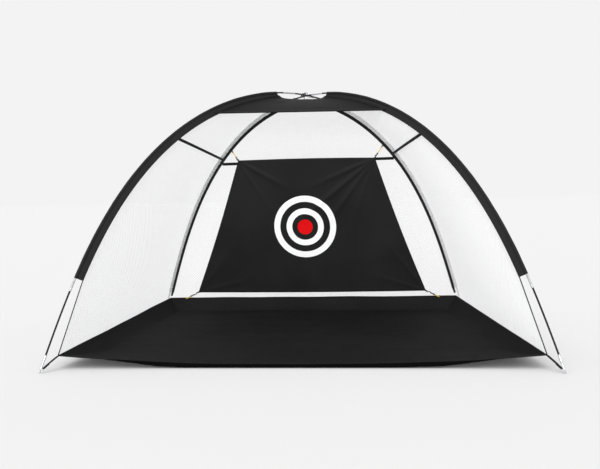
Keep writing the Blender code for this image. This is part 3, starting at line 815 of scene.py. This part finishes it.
def build_walls():
    walls = {}
    for side, word, front_pole, rear_pole in SIDES:
        front = net_front_line(side, front_pole)
        rear = net_rear_line(side, rear_pole, NET_SHIFT + 0.001, [0.0, -0.004, 0.003],
                             SLEEVE_DEPTH - SEAM_TAPE)
        walls["side_net_" + word] = Wall(front, rear, [-side * NET_SAG, 0, -NET_SAG / 3], TAPE_SHARE)
    left = net_rear_line(-1, POLE_B, -NET_SHIFT, [0.004, 0.001, 0.003], SEAM_DEPTH)
    right = net_rear_line(1, POLE_A, -NET_SHIFT, [-0.004, 0.001, 0.003], SEAM_DEPTH)
    walls["rear_net"] = Wall(left, right, [0, 0.004, 0])
    for name, wall in walls.items():
        build_net(name, wall)
        wall.area()


# ---------- header, tapes and bindings

def build_header():
    """Black cloth between the front sleeves, drooping, folded and scooped out along its upper edge."""
    rows, columns = 60, 150
    left, right = (even(pole.edge_line(HEADER_SPAN[1], HEADER_SPAN[0], 0.0036, rows, SLEEVE_DEPTH - 0.012),
                        rows) for pole in (POLE_A, POLE_B))
    points, uv = empty_grid(rows, columns)
    for i, j, v, f in grid_places(rows, columns):
        bend = math.sin(math.pi * f)
        point = left[i] * (1 - f) + right[i] * f
        droop = -0.010 * bend * math.sin(math.pi * v) - 0.004 * bend * (1 - v)
        fold = 0.004 * ripple(f * 5.0, v * 2.0, 4.0) * bend
        crease = 0.003 * math.sin(9 * (f - 0.5) * (1.2 - v)) * ripple(f * 9, v * 3, 1.0)
        fade = math.sin(math.pi * min(1, v * 1.2 + 0.05))
        point = point + np.array([0, -0.35, 0.9]) * (fold + crease) * fade
        scoop = (0.018 * (1 - bend) ** 5 - 0.006 * bend ** 0.5) * (1 - v) ** 6
        points[i, j] = point + [0, 0, droop + scoop]
        uv[i, j] = (f * 1.1, v * 0.5)
    # The header's cloth is coloured darker than the sleeves' as painted shade.
    made = riding(cloth("header_panel", points, uv, HEADER_SHADED_OXFORD), "root", "oxford_cloth", "header_panel")
    hem = ribbon("header_hem", points[-1] + [0, -0.0012, 0.008], points[-2] - points[-1], 0.018,
                 WEBBING, 0.0014)
    top = ribbon("header_top_binding", points[0] + [0, -0.001, -0.004], points[1] - points[0], 0.012,
                 WEBBING, 0.0018)
    for piece in (hem, top):
        riding(piece, "root", "webbing")
    cut = Wall(left, right, [0, 0, 0])
    cut.area()


def upward(pole, s):
    """The pole's own direction at a place, turned upwards."""
    along = pole.frame(s)[1]
    return along if along[2] > 0 else -along


def build_tape(name, low, high, sag, offset, width):
    """A tape across a wall; low and high are each a pole, a place along it and a shift."""
    ends = [pole.edge(s, shift, SEAM_DEPTH) for pole, s, shift in (low, high)]
    part = np.linspace(0.004, 0.996, 60)[:, None]
    line = ends[0] * (1 - part) + ends[1] * part + np.asarray(sag) * np.sin(math.pi * part) + offset
    lie = upward(*low[:2]) + upward(*high[:2])
    return riding(ribbon(name, line, lie, width, WEBBING, 0.0014, 7), "root", "webbing", name)


def build_tapes():
    for side, word, front_pole, rear_pole in SIDES:
        build_tape("side_tape_" + word, (front_pole, SIDE_TAPE_FRONT, -NET_SHIFT),
                   (rear_pole, SIDE_TAPE_REAR, NET_SHIFT), [-side * TAPE_SAG, 0, -TAPE_SAG / 3],
                   [-side * 0.004, 0, -0.002], 0.020)
        top = front_pole.edge(FRONT_SLEEVE[0] + 0.010, -NET_SHIFT, SLEEVE_DEPTH - 0.003)
        foot = corner(side, SHEET_FRONT) + [0, 0, 0.002]
        name = "front_binding_" + word
        riding(tube(name, even([top, foot], 40), 0.0031, WEBBING, 10), "root", "webbing", name)
    build_tape("rear_tape", (POLE_B, REAR_TAPE, -NET_SHIFT), (POLE_A, REAR_TAPE, -NET_SHIFT),
               [0, 0, 0], [0, -0.008, 0], 0.024)


# ---------- ground sheet

def sheet_edges(depth):
    """Half width and corner lip height of the ground sheet at a fraction of its depth."""
    half = SHEET_FRONT[0] + (SHEET_REAR[0] - SHEET_FRONT[0]) * depth
    lip = SHEET_FRONT[2] + (SHEET_REAR[2] - SHEET_FRONT[2]) * depth
    return half, lip


def lip_rise(distance, width):
    """Share of the edge's height at a distance in from the edge."""
    return max(0.0, 1.0 - distance / width) ** 1.4


def sheet_height(x, along):
    """Height of the sheet, pulled up along its edges and taut between its front corners."""
    half, lip = sheet_edges(along / SHEET_DEPTH)
    share = min(1.0, abs(x) / half)
    front = SHEET_SAG + (SHEET_FRONT[2] - SHEET_SAG) * share ** 2.4
    return max(lip * lip_rise(half - abs(x), LIP_WIDTH), front * lip_rise(along, FRONT_LIFT),
               lip * lip_rise(SHEET_DEPTH - along, LIP_WIDTH))


def rim_line(points):
    """The closed outline of a grid of points."""
    return np.vstack([points[0], points[1:, -1], points[-1, ::-1][1:], points[::-1, 0][1:]])


def build_ground_sheet():
    """The sheet with soft folds where it lies flat and a wavy rim where it is pulled up."""
    rows, columns = 150, 220
    points, uv = empty_grid(rows, columns)
    for i, j, v, f in grid_places(rows, columns):
        v = v - 0.06 * math.sin(2 * math.pi * v)
        along = v * SHEET_DEPTH
        u = 2 * f - 1
        x = sheet_edges(v)[0] * (u + 0.05 * math.sin(math.pi * u))
        rise = sheet_height(x, along)
        soft = max(0.0, 1 - rise / 0.03)
        fold = max(0.0, ripple(x * 1.3 + 3, along * 4.2, 2.0)) ** 1.5 * 0.016
        fold += max(0.0, ripple(x * 3.0, along * 7.5, 8.0)) * 0.004
        fold += max(0.0, ripple(x * 2.4 + 9, along * 19.0 + x * 1.5, 3.0)) ** 2 * 0.007
        edge_wave = 0.004 * ripple(x * 2.5, along * 2.5, 5.0) * min(1.0, rise / 0.03)
        points[i, j] = (x, SHEET_FRONT[1] + along, rise + 0.0012 + fold * soft + edge_wave)
        uv[i, j] = (x, along)
    points[:, :, 2] = np.maximum(points[:, :, 2], 0.0010)
    made = cloth("ground_sheet", points, uv, SHEETING, 0.0014)
    riding(made, "root", "ground_sheet", "ground_sheet")
    hem = tube("ground_sheet_binding", even(rim_line(points), 700), 0.0030, WEBBING, 8)
    riding(hem, "root", "webbing")
    shadow_band = build_shadow_band(points[0])


def build_shadow_band(edge):
    """A near-black band hanging from the sheet's front edge to just over the floor, turned down like a
    hem: painted shadow for the shaded gap under the edge.
    """
    top = edge[np.abs(edge[:, 0]) < SHADOW_BAND_REACH] + [0, -0.0026, 0.001]
    ends = np.clip((SHADOW_BAND_REACH - np.abs(top[:, 0])) / 0.35, 0, 1)
    drop = np.minimum(top[:, 2] - 0.0012, SHADOW_BAND_HEIGHT * ends + 0.002)
    shares = np.linspace(0, 1, 5)
    points = top[:, None, :] - shares[None, :, None] * drop[:, None, None] * np.array([0, -0.08, 1.0])
    uv = uv_grid(top[:, :1], shares[None, :] * SHADOW_BAND_HEIGHT)
    return riding(cloth("ground_sheet_shadow_band", points, uv, SHADOW_BAND_CLOTH, 0.0012), "root", "ground_sheet")


# ---------- feet

def foot_places(label, pole, at_front):
    """The pole's open end and direction, where the ring hangs in the pin's eye, and the ring's middle."""
    s_end = TIP_START if at_front else pole.length - TIP_START
    s_far = TIP_START + TIP_LENGTH if at_front else pole.length - TIP_START - TIP_LENGTH
    mouth = pole.frame(s_end)[0]
    along = unit(pole.frame(s_far)[0] - mouth)
    joint = [j for j in frame["joints"] if j["name"] == "foot_ring_%s_swing" % label][0]
    held = np.array(joint["pos_m"], float)
    low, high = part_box("foot_ring_" + label)
    centre = (np.array(low) + np.array(high)) / 2
    return mouth, along, held, centre


def build_foot(label, pole, at_front, hold):
    """Ring, pin and corner strap of one foot; hold is where the strap is sewn to the sheet."""
    mouth, along, held, centre = foot_places(label, pole, at_front)
    pull = unit(centre - held)
    level = unit(np.cross(pull, [0, 0, 1.0]))
    circle = arc(centre, RING_RADIUS, full_turn(48), pull, level)
    points, faces, uv = closed_tube(circle, WIRE_RADIUS, 14)
    ring = make_mesh("foot_ring_" + label, points, faces, STEEL, uv)
    riding(ring, "foot_ring_" + label, "steel", "foot_ring_" + label)

    # The pin: a shank in the pole's open end, bent round into an eye below it
    eye = held - pull * (EYE_RADIUS - WIRE_RADIUS * 2 - GAP)
    bend = np.linspace(math.radians(28), math.radians(332), 30)
    loop = arc(eye, EYE_RADIUS, bend, along, np.cross(level, along))
    shank = np.array([mouth + along * d for d in np.linspace(0.042, -0.002, 12)])
    path = smooth_path(np.vstack([shank, loop]), 90)
    pin = tube("foot_pin_" + label, path, [WIRE_RADIUS * 1.25] * 24 + [WIRE_RADIUS] * 66, STEEL, 14)
    riding(pin, "root", "steel", "foot_pin_" + label)

    # The strap folds round the far side of the ring, where it is gathered, and back under itself
    lift = np.cross(level, pull)
    lift = lift if lift[2] > 0 else -lift
    far = centre + pull * RING_RADIUS
    radius = 0.0036
    wrap = arc(far, radius, np.linspace(math.radians(90), math.radians(270), 13), pull, lift)
    back = [far + pull * d - lift * radius * (1 - d / 0.05) for d in np.linspace(0.006, 0.040, 8)]
    line = np.vstack([even([hold + lift * 0.001, far + lift * radius + pull * 0.002], 24), wrap, back])
    narrow, wide = 0.010, 0.019
    widths = np.clip(np.linalg.norm(line - far, axis=1) / 0.05, 0, 1)[:, None] * (wide - narrow) + narrow
    shares = np.linspace(-0.5, 0.5, 5)
    points = line[:, None, :] + level[None, None, :] * (shares[None, :] * widths)[:, :, None]
    uv = uv_grid(lengths_along(line)[:, None], shares[None, :] * wide)
    strap = cloth("corner_strap_" + label, points, uv, WEBBING, 0.0015)
    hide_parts("corner_strap_" + label)
    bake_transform(strap)


def closed_tube(circle, radius, sides):
    """Points, faces and lengths of a closed loop of tube."""
    count = len(circle)
    along = unit(np.roll(circle, -1, 0) - np.roll(circle, 1, 0))
    out = circle - circle.mean(0)
    out = unit(out - along * (out * along).sum(1)[:, None])
    turn = full_turn(sides)
    points = tube_points(circle, radius, turn, out, np.cross(along, out))
    uv = uv_grid(np.arange(count)[:, None] * 0.0016, turn[None, :] * radius)
    return points, grid_faces(count, sides, True, True), uv.reshape(-1, 2)


def build_feet():
    for side, word, front_pole, rear_pole in SIDES:
        front_hold = corner(side, SHEET_FRONT) + [0, 0, -0.002]
        build_foot("front_" + word, front_pole, True, front_hold)
        build_foot("rear_" + word, rear_pole, False, corner(side, REAR_HOLD))


# ---------- target cloth and its elastics

CREASE_HEIGHT = 1.35          # over the heights in the list below
# Each crease runs from a corner: side, top 0 or bottom 1, across, down, length, height, width
CREASES = (
    (1, 0, -0.72, 0.62, 0.95, 0.0075, 0.028),
    (1, 0, -0.55, 0.80, 0.80, 0.0065, 0.024),
    (1, 0, -0.88, 0.40, 0.60, 0.0050, 0.022),
    (1, 0, -0.30, 0.95, 0.70, 0.0045, 0.024),
    (-1, 0, 0.80, 0.50, 0.50, 0.0050, 0.022),
    (-1, 0, 0.45, 0.85, 0.55, 0.0045, 0.022),
    (-1, 1, 0.60, -0.75, 0.60, 0.0028, 0.028),
    (-1, 1, 0.95, -0.25, 0.55, 0.0020, 0.024),
    (1, 1, -0.60, -0.80, 0.65, 0.0030, 0.026),
    (1, 1, -0.90, -0.30, 0.55, 0.0020, 0.024),
)


def crease_rise(x, d, drop):
    """How far the creases lift the target cloth at a place on it, with d measured down from its top."""
    rise = 0.0
    for side, row, across, fall, length, tall, wide in CREASES:
        px = x - side * (TARGET_BOTTOM[0] if row else TARGET_TOP[0])
        pd = d - row * drop
        size = math.hypot(across, fall)
        run = (px * across + pd * fall) / size
        off = (px * fall - pd * across) / size
        if 0 < run < length:
            spread = wide * (0.35 + 0.9 * run / length)
            fade = math.sin(math.pi * min(1.0, run / length) ** 0.7)
            rise += CREASE_HEIGHT * tall * fade * math.exp(-(off / spread) ** 2)
    return rise


def build_target():
    """The cloth, hollow between its corners, with its print on the front only."""
    top, bottom = np.array(TARGET_TOP), np.array(TARGET_BOTTOM)
    slope = bottom - top
    drop = math.hypot(slope[1], slope[2])
    down = np.array([0, slope[1], slope[2]]) / drop
    normal = np.array([0, down[2], -down[1]])
    normal = normal if normal[1] < 0 else -normal
    rows, columns = 120, 170
    points, uv = empty_grid(rows, columns)
    for i, j, v, f in grid_places(rows, columns):
        u = 2 * f - 1
        half = top[0] + (bottom[0] - top[0]) * v
        x = u * (half - 0.012 * math.sin(math.pi * v))
        d = v * drop - 0.006 * math.cos(math.pi * u / 2) * (1 - 2 * v)
        height = -0.012 * math.cos(math.pi * u / 2) * math.sin(math.pi * v)
        height += crease_rise(x, d, drop)
        height += 0.0022 * ripple(x * 4, d * 4, 6.0)
        hem = 0.0007 if (1 - abs(u)) * half < 0.02 or d < 0.02 or drop - d < 0.02 else 0.0
        points[i, j] = np.array([x, top[1], top[2]]) + down * d + normal * (height + hem)
        uv[i, j] = ((x + BULLSEYE_LEFT) * BULLSEYE_SQUASH, BULLSEYE_DROP - d)
    made = cloth("target_cloth", points, uv, TARGET_BACK, 0.0014)
    made.data.materials.append(TARGET)
    made.modifiers["thickness"].material_offset = 1
    riding(made, "target", "target_cloth", "target_cloth")
    hem = tube("target_hem", even(rim_line(points), 420), 0.0026, WEBBING, 8)
    riding(hem, "target", "webbing")


def build_hanger(label, sewn, anchor, corner_place):
    """A yellow elastic from its sewn tab, its black cover, the S hook and the cloth's corner tab."""
    pull = unit(corner_place - anchor)
    side = unit(np.cross(pull, [0, -1.0, 0]))
    hook_end = corner_place - pull * HANGER_GAP
    hook_start = hook_end - pull * HOOK_LENGTH
    part = np.linspace(0, 1, 60)[:, None]
    swing = side * np.sin(2 * math.pi * part) * HOOK_LENGTH * 0.16
    hook_line = hook_start + (hook_end - hook_start) * part + swing
    hook_sizes = [0.0034 + 0.0004 * math.cos(2 * math.pi * t) for t in part[:, 0]]
    hook = tube("target_hook_" + label, hook_line, hook_sizes, NYLON, 14)
    riding(hook, "target", "hook_plastic", "target_hook_" + label)

    stop = hook_start - pull * 0.002
    cover_start = stop - pull * COVER_LENGTH
    elastic = tube("target_elastic_" + label, anchor + (stop - anchor) * part, 0.0040, YELLOW, 14)
    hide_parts("target_elastic_" + label)
    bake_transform(elastic)
    cover_sizes = [0.0046 + 0.0030 * math.exp(-((t - 0.18) / 0.11) ** 2) for t in np.linspace(0, 1, 30)]
    cover_line = cover_start + np.linspace(0, COVER_LENGTH + 0.003, 30)[:, None] * pull
    cover = tube("elastic_knot_" + label, cover_line, cover_sizes, CORD, 16)
    riding(cover, "target", "yellow_elastic")
    loop = ribbon("elastic_tab_" + label, even([sewn, anchor, anchor + pull * 0.010], 16), side, 0.010,
                  WEBBING, 0.0022)
    riding(loop, "root", "webbing")
    tab_line = even([hook_end - pull * 0.010, corner_place, corner_place + pull * 0.034], 20)
    tab = ribbon("target_tab_" + label, tab_line, side, 0.012, WEBBING, 0.0026)
    riding(tab, "target", "webbing")


def build_hangers():
    for side, word, front_pole, rear_pole in SIDES:
        build_hanger("upper_" + word, rear_pole.edge(UPPER_ANCHOR, 0.0, SLEEVE_DEPTH - 0.004),
                     rear_pole.edge(UPPER_ANCHOR, 0.0, SLEEVE_DEPTH + 0.018), corner(side, TARGET_TOP))
        hem_place = np.array([side * LOWER_ANCHOR[0], SHEET_REAR[1] - 0.002, SHEET_REAR[2] - 0.003])
        build_hanger("lower_" + word, hem_place, corner(side, LOWER_ANCHOR), corner(side, TARGET_BOTTOM))


# ---------- tie strings at the crossing

def crossing_place():
    """Halfway between the two poles where one passes over the other."""
    share = np.interp(0.0, POLE_A.curve[:, 0], np.arange(len(POLE_A.curve)))
    k = int(share)
    return POLE_A.curve[k] + (POLE_A.curve[k + 1] - POLE_A.curve[k]) * (share - k) - [0, 0, POLE_STACK]


def tie_route(side, start_x, free_end):
    """From the header's upper edge, once round both poles, to the free end."""
    edge = POLE_A.edge(HEADER_SPAN[1], NET_SHIFT)
    begin = np.array([side * start_x, edge[1] + 0.010, edge[2] + 0.006])
    crossing = crossing_place()
    arrive = crossing + [side * 0.010, -0.026, -0.006]
    line = [begin, (begin + arrive) / 2 - [0, 0, 0.004], arrive]
    for k in range(9):
        turn = math.radians(190 - 340 * k / 8)
        place = [side * (0.009 - 0.006 * k / 8), WRAP_WIDE * math.cos(turn), WRAP_HIGH * math.sin(turn)]
        line.append(crossing + place)
    return line + [crossing + list(place) for place in free_end]


def build_ties():
    """The two strings, each with a knot where they meet and a thicker end."""
    ends = (("left", -1, 0.070, TIE_END_LEFT), ("right", 1, 0.090, TIE_END_RIGHT))
    for word, side, start_x, free_end in ends:
        path = smooth_path(tie_route(side, start_x, free_end), 160)
        name = "tie_string_" + word
        tie = riding(tube(name, path, TIE_RADIUS, CORD, 12), "root", "webbing", name)
        turn = full_turn(80)
        knot_line = np.stack([np.sin(turn) + 2 * np.sin(2 * turn), 0.8 * np.sin(3 * turn),
                              np.cos(turn) - 2 * np.cos(2 * turn)], -1) * 0.0040
        middle = crossing_place() + [side * 0.006, -0.0285, 0.003 * side]
        points, faces, uv = closed_tube(knot_line + middle, 0.0031, 12)
        knot = riding(make_mesh("tie_knot_" + word, points, faces, CORD, uv), "root", "webbing")
        end_sizes = [TIE_RADIUS + 0.0009 * math.sin(math.pi * t) ** 0.5 for t in np.linspace(0, 1, 14)]
        tip_line = path[-1] + (path[-1] - path[-6]) * np.linspace(-0.9, 0.35, 14)[:, None]
        tip = riding(tube("tie_tip_" + word, tip_line, end_sizes, CORD, 12), "root", "webbing")


# ---------- stage, light and camera

FLOOR_TONE = (0.745, 0.745, 0.745)
PAPER = 0.896                 # the same brightness as the floor has far from the net


def add_sun(name, strength, spread, direction):
    """Soft sunlight from a disc `spread` degrees wide."""
    lamp = bpy.data.lights.new(name, "SUN")
    lamp.energy = strength
    lamp.angle = math.radians(spread)
    add_object(name, lamp).rotation_euler = Vector(direction).to_track_quat("-Z", "Y").to_euler()


def build_stage():
    size = 40.0
    corners = [(x * size, y * size, -0.002) for x, y in ((-1, -1), (1, -1), (1, 1), (-1, 1))]
    paper = new_material("stage_paper", FLOOR_TONE, 0.9, gloss=0.0)
    floor = make_mesh("stage_floor", corners, [(0, 1, 2, 3)], paper, smooth=False)
    world = bpy.data.worlds.new("studio")
    world.use_nodes = True
    background = world.node_tree.nodes["Background"]
    background.inputs["Color"].default_value = (PAPER, PAPER, PAPER, 1.0)
    background.inputs["Strength"].default_value = 1.0
    SCENE.world = world
    add_sun("key", 0.82, 50, (0.28, -0.15, -1.0))
    add_sun("front_fill", 1.95, 14, (0.06, 1.0, -0.125))
    SCENE.view_settings.view_transform = "Standard"
    SCENE.view_settings.look = "None"


CAMERA_PLACE = (0.285, -4.564, 1.068)
CAMERA_YAW = -0.0674          # radians to the right of +Y
CAMERA_PITCH = -0.0612
CAMERA_ROLL = -0.0191
CAMERA_LENS = 38.5            # millimetres on a 36 mm sensor
CAMERA_SHIFT = -0.0166


def build_camera():
    data = bpy.data.cameras.new("camera")
    data.sensor_width = 36.0
    data.lens = CAMERA_LENS
    data.shift_y = CAMERA_SHIFT
    data.clip_end = 200.0
    camera = add_object("camera", data)
    turn = Matrix.Rotation(-CAMERA_YAW, 4, "Z") @ Matrix.Rotation(math.pi / 2 + CAMERA_PITCH, 4, "X")
    camera.matrix_world = Matrix.Translation(CAMERA_PLACE) @ turn @ Matrix.Rotation(CAMERA_ROLL, 4, "Z")
    SCENE.camera = camera


build_stage()
build_camera()
build_ties()
build_poles()
build_sleeves()
build_walls()
build_header()
build_tapes()
build_ground_sheet()
build_feet()
build_target()
build_hangers()
